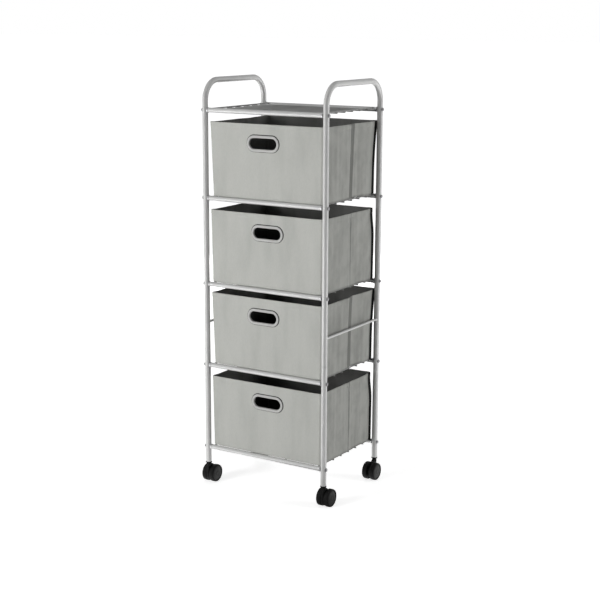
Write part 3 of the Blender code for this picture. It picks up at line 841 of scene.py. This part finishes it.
def wheel_mesh():
    """Wheel about X with its outer face at +X."""
    r, w = WHEEL_RADIUS, WHEEL_WIDTH
    profile = [*HUB_BORE] + [(depth, r - inset) for depth, inset in WHEEL_INNER_EDGE] + [(w / 2, r)]
    profile += [(w - depth, r - inset) for depth, inset in WHEEL_OUTER_EDGE]
    profile += [(w - depth, radius) for depth, radius in HUB_CAP]
    bm = bmesh.new()
    turned(bm, (0, 0, 0), (1, 0, 0), profile, WHEEL_SIDES)
    for face in bm.faces:
        middle = face.calc_center_median()
        radius = math.hypot(middle.y, middle.z)
        outside = middle.x > w - WHEEL_FACE_DEPTH
        face.material_index = int(outside and radius < r - WHEEL_FACE_MARGIN)
    return finish_mesh(bm, "caster_wheel", [WHEEL_PLASTIC, WHEEL_FACE], angle=38)


def build_casters():
    """Casters, with their axles trailing inwards along Y."""
    wheel = wheel_mesh()
    for corner, (sx, sy) in CORNERS.items():
        housing = f"{corner}_caster_housing"
        bm = housing_bmesh(sx * POST_X, sy * POST_Y, -sy * CASTER_TRAIL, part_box(housing)[1].z)
        name, body = housing + "_moulded", f"{corner}_caster"
        build_piece(bm, name, [BLACK_PLASTIC], body, [housing])
        for side in ("outer", "inner"):
            node = f"{corner}_{side}_wheel"
            low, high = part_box(node)
            out = 1 if centre_of(node).x > sx * POST_X else -1
            x = low.x if out > 0 else high.x
            matrix = facing(out, (x, (low.y + high.y) / 2, WHEEL_RADIUS))
            add_piece(node + "_moulded", wheel, node, [node], matrix)


# Drawers


def smooth(value):
    value = min(max(value, 0.0), 1.0)
    return value * value * (3 - 2 * value)


def rise(value, start, length):
    """0 up to start, then smoothly up to 1 over a length."""
    return smooth((value - start) / length)


def hump(value, width):
    return math.exp(-(value / width) ** 2)


def wall_places(start, end, sign, seams):
    """Places along a wall, closer at a side wall's fold and in pairs at the seams of the dark
    painted shade tape.
    """
    count = math.ceil((end - start) / WALL_STEP)
    places = [start + (end - start) * i / count for i in range(count + 1)]
    if sign:
        low, high = sorted((sign * FOLD_START, sign * FOLD_END))
        places = [p for p in places if not low - FOLD_MARGIN < p < high + FOLD_MARGIN]
        fine = math.ceil((high - low) / FOLD_STEP)
        places += [low + (high - low) * i / fine for i in range(fine + 1)]
    for seam in seams:
        places = [p for p in places if abs(p - seam) > SEAM_CLEARANCE]
        places += [seam - SEAM_HALF_WIDTH, seam + SEAM_HALF_WIDTH]
    return sorted(places)


def bin_outline(hx, hy):
    """Points round a rim: place, outward direction, wall, distance round, fade at wall ends."""
    walls = (
        ("front", (1, 0), (0, -1), (hx, hy), (FRONT_CORNER, FRONT_CORNER), 0),
        ("right", (0, 1), (1, 0), (hy, hx), (FRONT_CORNER, BACK_CORNER), 1),
        ("back", (-1, 0), (0, 1), (hx, hy), (BACK_CORNER, BACK_CORNER), 0),
        ("left", (0, -1), (-1, 0), (hy, hx), (BACK_CORNER, FRONT_CORNER), -1),
    )
    samples = []
    for wall, along, out, (half, reach), (first, last), sign in walls:
        along, out = Vector(along), Vector(out)
        start, end = first - half, half - last
        seams = [start + PAINTED_SHADE_TAPE_WIDTH] * (first == BACK_CORNER)
        seams += [end - PAINTED_SHADE_TAPE_WIDTH] * (last == BACK_CORNER)
        for t in wall_places(start, end, sign, seams):
            fade = smooth(min(t - start, end - t) / CORNER_FADE)
            samples.append((out * reach + along * t, out, wall, fade))
        pivot = out * (reach - last) + along * (half - last)
        for step in range(1, CORNER_STEPS):
            angle = step * math.pi / (2 * CORNER_STEPS)
            turned_out = out * math.cos(angle) + along * math.sin(angle)
            samples.append((pivot + turned_out * last, turned_out, "corner", 0.0))
    distance = 0.0
    outline = []
    for i, (place, out, wall, fade) in enumerate(samples):
        if i:
            distance += (place - samples[i - 1][0]).length
        outline.append((place, out, wall, distance, fade))
    return outline


def in_painted_shade_tape(sample, hx, hy):
    """Whether a point lies under the dark tape of the back corners: painted shade where the corners
    turn away from the light.
    """
    reach = BACK_CORNER + PAINTED_SHADE_TAPE_WIDTH
    return sample[0].y > hy - reach and abs(sample[0].x) > hx - reach


def edge_share(y, hy):
    """0 to 1 over the last stretch of a side wall before its back edge."""
    return max(0.0, (y - hy + EDGE_DRAW) / EDGE_DRAW)


def pleat_edges(v):
    return [place + drift * smooth(v) for place, drift in PLEAT_FACE]


def pleat_depth(y, v):
    """Open pleat: a ridge, a face that runs in, and a gape under the rim."""
    left, right = pleat_edges(v)
    slot = rise(v, *GAPE_FOOT) * (1 - rise(v, *GAPE_TOP))
    gape = PLEAT_GAPE * slot * hump(y - right, 0.0026)
    ridge = PLEAT_RIDGE * hump(y - left + 0.004, 0.005)
    back = 1 - rise(y, right, PLEAT_RECOVERY)
    return ridge - gape - PLEAT_DEPTH * back * min(max(y - left, 0.0) / (right - left), 1.0)


def crease_depth(y, v):
    """Closed crease: a ridge, a step, and a forked pucker under the rim."""
    y -= CREASE_PLACE
    ridge = CREASE_RIDGE * hump(y + 0.007, 0.006)
    step = CREASE_STEP * rise(y, -0.003, 0.005) * (1 - rise(y, 0, 0.06))
    near_rim = rise(v, 0.85, 0.04) * (1 - rise(v, 0.945, 0.03))
    fork = abs(abs(y) - 0.011 * (v - 0.83) / 0.12)
    return ridge - step - CREASE_PUCKER * near_rim * hump(fork, 0.0018)


def side_painted_shade_and_mottle(sample, height, tall, pose, hy):
    """How dark a point of a side wall is, from 0 to 1: painted shade in its folds, towards its back
    and front edges and at its foot, and random mottle.
    """
    y, v = sample[0].y, height / tall
    if sample[2] not in ("left", "right"):
        return 0.0
    # Painted shade: darker towards the back edge, in the folds, by the front edge and at the foot
    edge = edge_share(y, hy) ** 1.5
    if pose["pleat"]:
        left, right = pleat_edges(v)
        fold = rise(y, left, 0.005) * (1 - rise(y, right, 0.004))
        fold += rise(v, *GAPE_FOOT) * hump(y - right, 0.003)
    else:
        fold = CREASE_PAINTED_SHADE * hump(y - 0.0105, 0.0032)
    front = FRONT_EDGE_PAINTED_SHADE * (1 - rise(y, -hy, 0.03))
    foot = FOOT_PAINTED_SHADE * (1 - rise(height, 0.0012, 0.002))
    seed = pose["seed"]
    patches = noise.noise(Vector((y * 34, height * 26, seed)))
    patches += 0.6 * noise.noise(Vector((y * 90, height * 70, seed)))
    streaks = noise.noise(Vector((y * 120, height * 5, seed + 3)))
    mottle = SIDE_TONE + SIDE_PATCHES * patches + SIDE_STREAKS * streaks
    return min(1.0, max(0.0, edge + fold + front + foot + mottle))


def soft_offset(sample, height, v, pose, near_pull, hx):
    """Outward offset of the wall from folds, bulges and soft creases."""
    place, _, wall, distance, fade = sample
    seed = pose["seed"]
    swell = math.sin(math.pi * min(max(v, 0.0), 1.0))
    broad = noise.noise(Vector((distance * 9, height * 6, seed)))
    fine = noise.noise(Vector((distance * 55, height * 9, seed + 5)))
    if wall == "front":
        return (0.0006 * broad + 0.00015 * fine) * swell * fade * (1 - near_pull)
    if wall == "back":
        bulge = 0.003 * swell * (1 - (place.x / hx) ** 2)
        return (0.0014 * broad + 0.0003 * fine) * swell * fade + bulge
    if wall == "corner":
        return 0.0
    y = place.y
    waves = 0.0007 * math.sin(y * 137 + seed + 0.7 * v) + 0.0004 * math.sin(y * 233 + 2 * seed - v)
    soft = (0.0009 * broad + 0.00035 * fine + waves) * (0.4 + 0.6 * swell)
    return (soft + (pleat_depth(y, v) if pose["pleat"] else crease_depth(y, v))) * fade


def back_lean(v, pose):
    """How far the back wall stands out: flared at the rim, or drawn in there."""
    if pose["pleat"]:
        return pose["back"] - 0.002 + 0.014 * max(0.0, (v - 0.3) / 0.7) ** 1.8
    return pose["back"] + 0.0015 - 0.0105 * rise(v, 0.6, 0.37)


def bottom_droop(wall, y, pleat):
    """How far the cloth hangs below a wall's foot."""
    if wall == "front":
        return FRONT_DROOP
    if wall == "right":
        end = DROOP_END_AT_PLEAT if pleat else DROOP_END
        return SIDE_DROOP * max(rise(end, y, DROOP_BLEND), rise(y, DROOP_RESUMES, DROOP_BLEND))
    return 0.0


def wall_point(sample, height, inset, geometry, pose):
    """Place of a wall point at a height above the bottom, set in from the outside."""
    place, out, wall, _, fade = sample
    hx, hy, tall, pull = geometry
    v = height / tall
    lean = pose["left"] if place.x < 0 else pose["right"]
    draw = 0.0015 * rise(place.y, -0.05, 0.12) - 0.0045 * edge_share(place.y, hy) ** 1.8
    x = place.x * (1 - lean * (1 - v) / hx) + math.copysign(draw * (place.x / hx) ** 4, place.x)
    y = place.y + (back_lean(v, pose) * smooth(place.y / hy) if place.y > 0 else 0.0)
    near = 0.0
    if wall == "front":
        distance = math.hypot((place.x - pull.x) / PULL_FLAT_STRETCH, height - pull.y)
        near = 1 - rise(distance, *PULL_FLAT)
    offset = soft_offset(sample, height, v, pose, near, hx) - inset
    if inset < WALL / 2:
        offset += HEM_RAISE * smooth((height - tall + HEM_HEIGHT) / HEM_BLEND) * (1 - near)
        offset += PAINTED_SHADE_TAPE_RAISE if in_painted_shade_tape(sample, hx, hy) else 0.0
    sag = fade * v ** 3 * (SIDE_RIM_SAG if wall in ("left", "right") else RIM_SAG)
    hang = fade * (1 - smooth(height / HANG_HEIGHT)) * (1 - rise(inset, BOTTOM_RADIUS, HANG_INSET))
    sag += bottom_droop(wall, place.y, pose["pleat"]) * hang
    return Vector((x + out.x * offset, y + out.y * offset, height - sag))


def bin_levels(tall):
    """(height, inset) from the bottom, up the outside, over the rim and down the inside."""
    levels = [(0.0, BOTTOM_RADIUS + BOTTOM_MARGIN)]
    for step in range(BOTTOM_STEPS + 1):
        angle = step * math.pi / (2 * BOTTOM_STEPS)
        height, inset = 1 - math.cos(angle), 1 - math.sin(angle)
        levels.append((BOTTOM_RADIUS * height, BOTTOM_RADIUS * inset))
    hem = tall - HEM_HEIGHT
    pitch = (hem - BOTTOM_RADIUS) / WALL_ROWS
    levels += [(BOTTOM_RADIUS + pitch * i, 0.0) for i in range(1, WALL_ROWS)]
    levels += [(hem + row, 0.0) for row in HEM_ROWS]
    half = WALL / 2
    for step in range(RIM_STEPS + 1):
        angle = step * math.pi / RIM_STEPS
        levels.append((tall - half + half * math.sin(angle), half * (1 - math.cos(angle))))
    top, foot = tall - LINING_TOP, BIN_FLOOR + FLOOR_ROUND
    levels += [(top - (top - foot) * i / LINING_ROWS, WALL) for i in range(LINING_ROWS + 1)]
    levels.append((BIN_FLOOR, WALL + FLOOR_ROUND))
    return levels


def in_oval(x, z, half_width, half_height):
    straight = half_width - half_height
    return math.hypot(max(abs(x) - straight, 0.0), z) < half_height


def snap_to_oval(vert, hole, half_width, half_height):
    """Move a vertex at the edge of the finger hole onto its oval."""
    x, z = vert.co.x - hole[0], vert.co.z - hole[1]
    straight = half_width - half_height
    spine = min(max(x, -straight), straight)
    reach = math.hypot(x - spine, z)
    vert.co.x = hole[0] + spine + (x - spine) * half_height / reach
    vert.co.z = hole[1] + z * half_height / reach


def bin_bmesh(low, high, pull, pose):
    """Cloth bin: lofted walls with folded sides, hem, lining and a hole for the pull."""
    hx, hy, tall = (high.x - low.x) / 2, (high.y - low.y) / 2, high.z - low.z
    hole = (pull[0].x + pull[1].x) / 2, (pull[0].z + pull[1].z) / 2 - low.z
    margin = GROMMET_FLANGE - GROMMET_SLEEVE - SEAT_GAP
    hole_half = (pull[1].x - pull[0].x) / 2 - margin, (pull[1].z - pull[0].z) / 2 - margin
    geometry = (hx, hy, tall, Vector(hole))
    outline = bin_outline(hx, hy)
    levels = bin_levels(tall)
    bm = bmesh.new()
    uv = bm.loops.layers.uv.new("cloth")
    # Crease mark per vertex: painted shade of the lining's depth and of the side walls' folds,
    # edges and foot, with their mottle
    mark = bm.verts.layers.float.new("crease")
    rings = []
    for height, inset in levels:
        shaded = rise(tall - height, *LINING_SHADE)
        ring = []
        for sample in outline:
            vert = bm.verts.new(wall_point(sample, height, inset, geometry, pose))
            vert[mark] = shaded if inset >= WALL else side_painted_shade_and_mottle(sample, height, tall, pose, hy)
            ring.append(vert)
        rings.append(ring)
    lining = [i for i, (h, inset) in enumerate(levels) if inset > WALL * 0.7 and h > BOTTOM_RADIUS]
    count = len(outline)
    around = outline[-1][3] + (outline[0][0] - outline[-1][0]).length
    for row, (first, second) in enumerate(zip(rings, rings[1:])):
        for i in range(count):
            j = (i + 1) % count
            middle = (first[i].co + first[j].co + second[i].co + second[j].co) / 4
            x, z = middle.x - hole[0], middle.z - hole[1]
            if middle.y < FRONT_CORNER - hy and in_oval(x, z, *hole_half):
                continue
            face = bm.faces.new((first[i], first[j], second[j], second[i]))
            spans = (outline[i][3], outline[j][3] if j else around)
            heights = (levels[row][0], levels[row + 1][0])
            for loop, (a, b) in zip(face.loops, ((0, 0), (1, 0), (1, 1), (0, 1))):
                loop[uv].uv = (spans[a], heights[b])
            if row >= lining[0]:
                face.material_index = 1
            # Dark tape faces at the back corners: painted shade
            elif in_painted_shade_tape(outline[i], hx, hy) and in_painted_shade_tape(outline[j], hx, hy):
                face.material_index = 2
    edges = [e for e in bm.edges if e.is_boundary and e.verts[0].co.y < FRONT_CORNER - hy]
    rim = [e for e in edges if abs(e.verts[0].co.z - hole[1]) < 2 * hole_half[1]]
    for vert in {vert for e in rim for vert in e.verts}:
        snap_to_oval(vert, hole, *hole_half)
    bmesh.ops.bridge_loops(bm, edges=rim)
    bm.faces.new(rings[0])
    bm.faces.new(rings[-1]).material_index = 1
    bmesh.ops.translate(bm, verts=bm.verts, vec=(0, 0, low.z))
    return bm


def oval_ring(bm, centre, half_width, half_height, profile):
    """Loft a closed (grow, y) profile round an oval with round ends."""
    straight = half_width - half_height
    rings = []
    for grow, y in profile:
        reach = half_height + grow
        ring = []
        for side in (1, -1):
            for step in range(GROMMET_STEPS + 1):
                angle = side * math.pi / 2 * (2 * step / GROMMET_STEPS - 1)
                px, pz = side * (straight + reach * math.cos(angle)), reach * math.sin(angle)
                ring.append(bm.verts.new((centre.x + px, y, centre.z + pz)))
        rings.append(ring)
    loft(bm, rings, closed=True)


def build_grommet(index):
    """Oval ring that lines the finger hole, and the dark washer it seats on: a painted shade
    outline round the ring, thicker at the top and right.
    """
    body, node = f"drawer_{index}", f"drawer_{index}_grommet"
    low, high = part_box(node)
    centre = (low + high) / 2
    half_width = (high.x - low.x) / 2 - GROMMET_FLANGE
    half_height = (high.z - low.z) / 2 - GROMMET_FLANGE
    front, back, wide, sleeve = low.y, high.y, GROMMET_FLANGE_SEEN, GROMMET_SLEEVE
    profile = [(grow, front + depth) for grow, depth in GROMMET_ROLL]
    profile += [(wide - 0.0001, front + 0.0016), (sleeve, front + 0.0018)]
    profile += [(sleeve, back - 0.0016), (wide, back - 0.0016), (wide - 0.0002, back - 0.0006)]
    profile += [(wide - 0.001, back), (0.001, back), (0.0002, back - 0.0006)]
    bm = bmesh.new()
    oval_ring(bm, centre, half_width, half_height, profile)
    build_piece(bm, node + "_moulded", [GREY_PLASTIC], body, [node], angle=50)

    wall = front + GROMMET_SEAT
    face, seat, edge = wall - 0.0007, wall + 0.0006, wide + 0.0012
    painted_shade_washer = [(PAINTED_SHADE_WASHER_BORE, face), (wide + 0.0006, face), (edge, wall - 0.0003)]
    painted_shade_washer += [(edge, seat), (PAINTED_SHADE_WASHER_BORE, seat)]
    bm = bmesh.new()
    oval_ring(bm, centre + PAINTED_SHADE_WASHER_SET, half_width, half_height, painted_shade_washer)
    build_piece(bm, node + "_washer", [PAINTED_SHADE_CLOTH], body)


def board_bmesh(low, high, pose):
    """Covered board on a bin's floor, clear of the walls that lean in."""
    x0, x1 = low.x + max(pose["left"] - 0.005, 0.0) + 0.001, high.x - 0.001
    y0, y1 = low.y + 0.001, high.y + min(back_lean(0.0, pose), 0.0) - 0.003
    corners = ((x1, y0, -90), (x1, y1, 0), (x0, y1, 90), (x0, y0, 180))
    tall = high.z - low.z
    levels = ((0, 0.0008), (0.0006, 0), (tall - 0.0009, 0), (tall - 0.0002, 0.0006), (tall, 0.0018))
    bm = bmesh.new()
    rings = []
    for level, inset in levels:
        ring = []
        for cx, cy, start in corners:
            for step in range(BOARD_CORNER_STEPS + 1):
                angle = math.radians(start + 90 * step / BOARD_CORNER_STEPS)
                px = cx - math.copysign(BOARD_CORNER, cx) + (BOARD_CORNER - inset) * math.cos(angle)
                py = cy - math.copysign(BOARD_CORNER, cy) + (BOARD_CORNER - inset) * math.sin(angle)
                ring.append(bm.verts.new((px, py, low.z + level)))
        rings.append(ring)
    loft(bm, rings, capped=True)
    return bm


def build_drawers():
    for index, pose in BIN_POSES.items():
        body, node = f"drawer_{index}", f"drawer_{index}_bin"
        low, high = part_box(node)
        bm = bin_bmesh(low, high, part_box(f"drawer_{index}_grommet"), pose)
        cloths = [CLOTH, LINING, PAINTED_SHADE_CLOTH]
        build_piece(bm, node + "_cloth", cloths, body, [node], angle=50)
        build_grommet(index)
        board = f"drawer_{index}_base_board"
        bm = board_bmesh(*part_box(board), pose)
        build_piece(bm, board + "_covered", [BOARD], body, [board])


# Studio


def build_camera():
    data = bpy.data.cameras.new("camera")
    data.lens = CAMERA_LENS
    data.clip_end = CAMERA_REACH
    camera = new_object("camera", data)
    camera.location = CAMERA_PLACE
    camera.rotation_euler = CAMERA_TURN
    bpy.context.scene.camera = camera


def area_light(name, azimuth, elevation, size, power):
    """Soft lamp aimed at the cart."""
    data = bpy.data.lights.new(name, "AREA")
    data.shape = "RECTANGLE"
    data.size, data.size_y = size
    data.energy = power
    lamp = new_object(name, data)
    a, e = math.radians(azimuth), math.radians(elevation)
    back = Vector((math.sin(a) * math.cos(e), -math.cos(a) * math.cos(e), math.sin(e)))
    lamp.location = LAMP_AIM + back * LAMP_DISTANCE
    lamp.rotation_euler = back.to_track_quat("Z", "Y").to_euler()
    lamp.visible_glossy = False


def build_world():
    """White for the camera. Reflections see a greyer ceiling and right-hand side."""
    world = bpy.data.worlds.new("studio")
    world.use_nodes = True
    bpy.context.scene.world = world
    tree = world.node_tree
    tree.nodes.clear()
    place = add_node(tree, "TexCoord").outputs["Generated"]
    direction = add_node(tree, "SeparateXYZ")
    link(place, direction, "Vector")
    ceiling = falloff(direction.outputs["Z"], *CEILING)
    surroundings = math_node("MULTIPLY", ceiling, dark_side(place))
    reflected, camera = ray_kinds(tree)
    shown = math_node("MAXIMUM", camera, math_node("MULTIPLY", reflected, surroundings))
    background = add_node(tree, "Background", {"Color": (1, 1, 1, 1)})
    link(spread(shown, AMBIENT, 1.0, 0.0, 1.0), background, "Strength")
    link(background.outputs["Background"], add_node(tree, "OutputWorld"), "Surface")


def build_studio():
    bm = bmesh.new()
    bmesh.ops.create_grid(bm, x_segments=8, y_segments=8, size=FLOOR_SIZE)
    floor = new_object("studio_floor", finish_mesh(bm, "studio_floor", [floor_material()]))
    build_world()
    for name, settings in LAMPS.items():
        area_light(name, *settings)
    build_camera()
    bpy.context.scene.view_settings.view_transform = "Standard"


# Places that come from the CAD pieces
POST_X = centre_of("front_right_leg").x
POST_Y = centre_of("back_right_leg").y
LEG_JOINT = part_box("left_side_frame")[0].z
HANDLE_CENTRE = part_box("left_side_frame")[1].z - TUBE_RADIUS
BRACE_HEIGHT = centre_of("drawer_shelf_2").z - BRACE_BELOW_SHELF

build_side_frames()
build_legs()
build_shelves()
build_bolts()
build_sockets()
build_casters()
build_drawers()
build_studio()
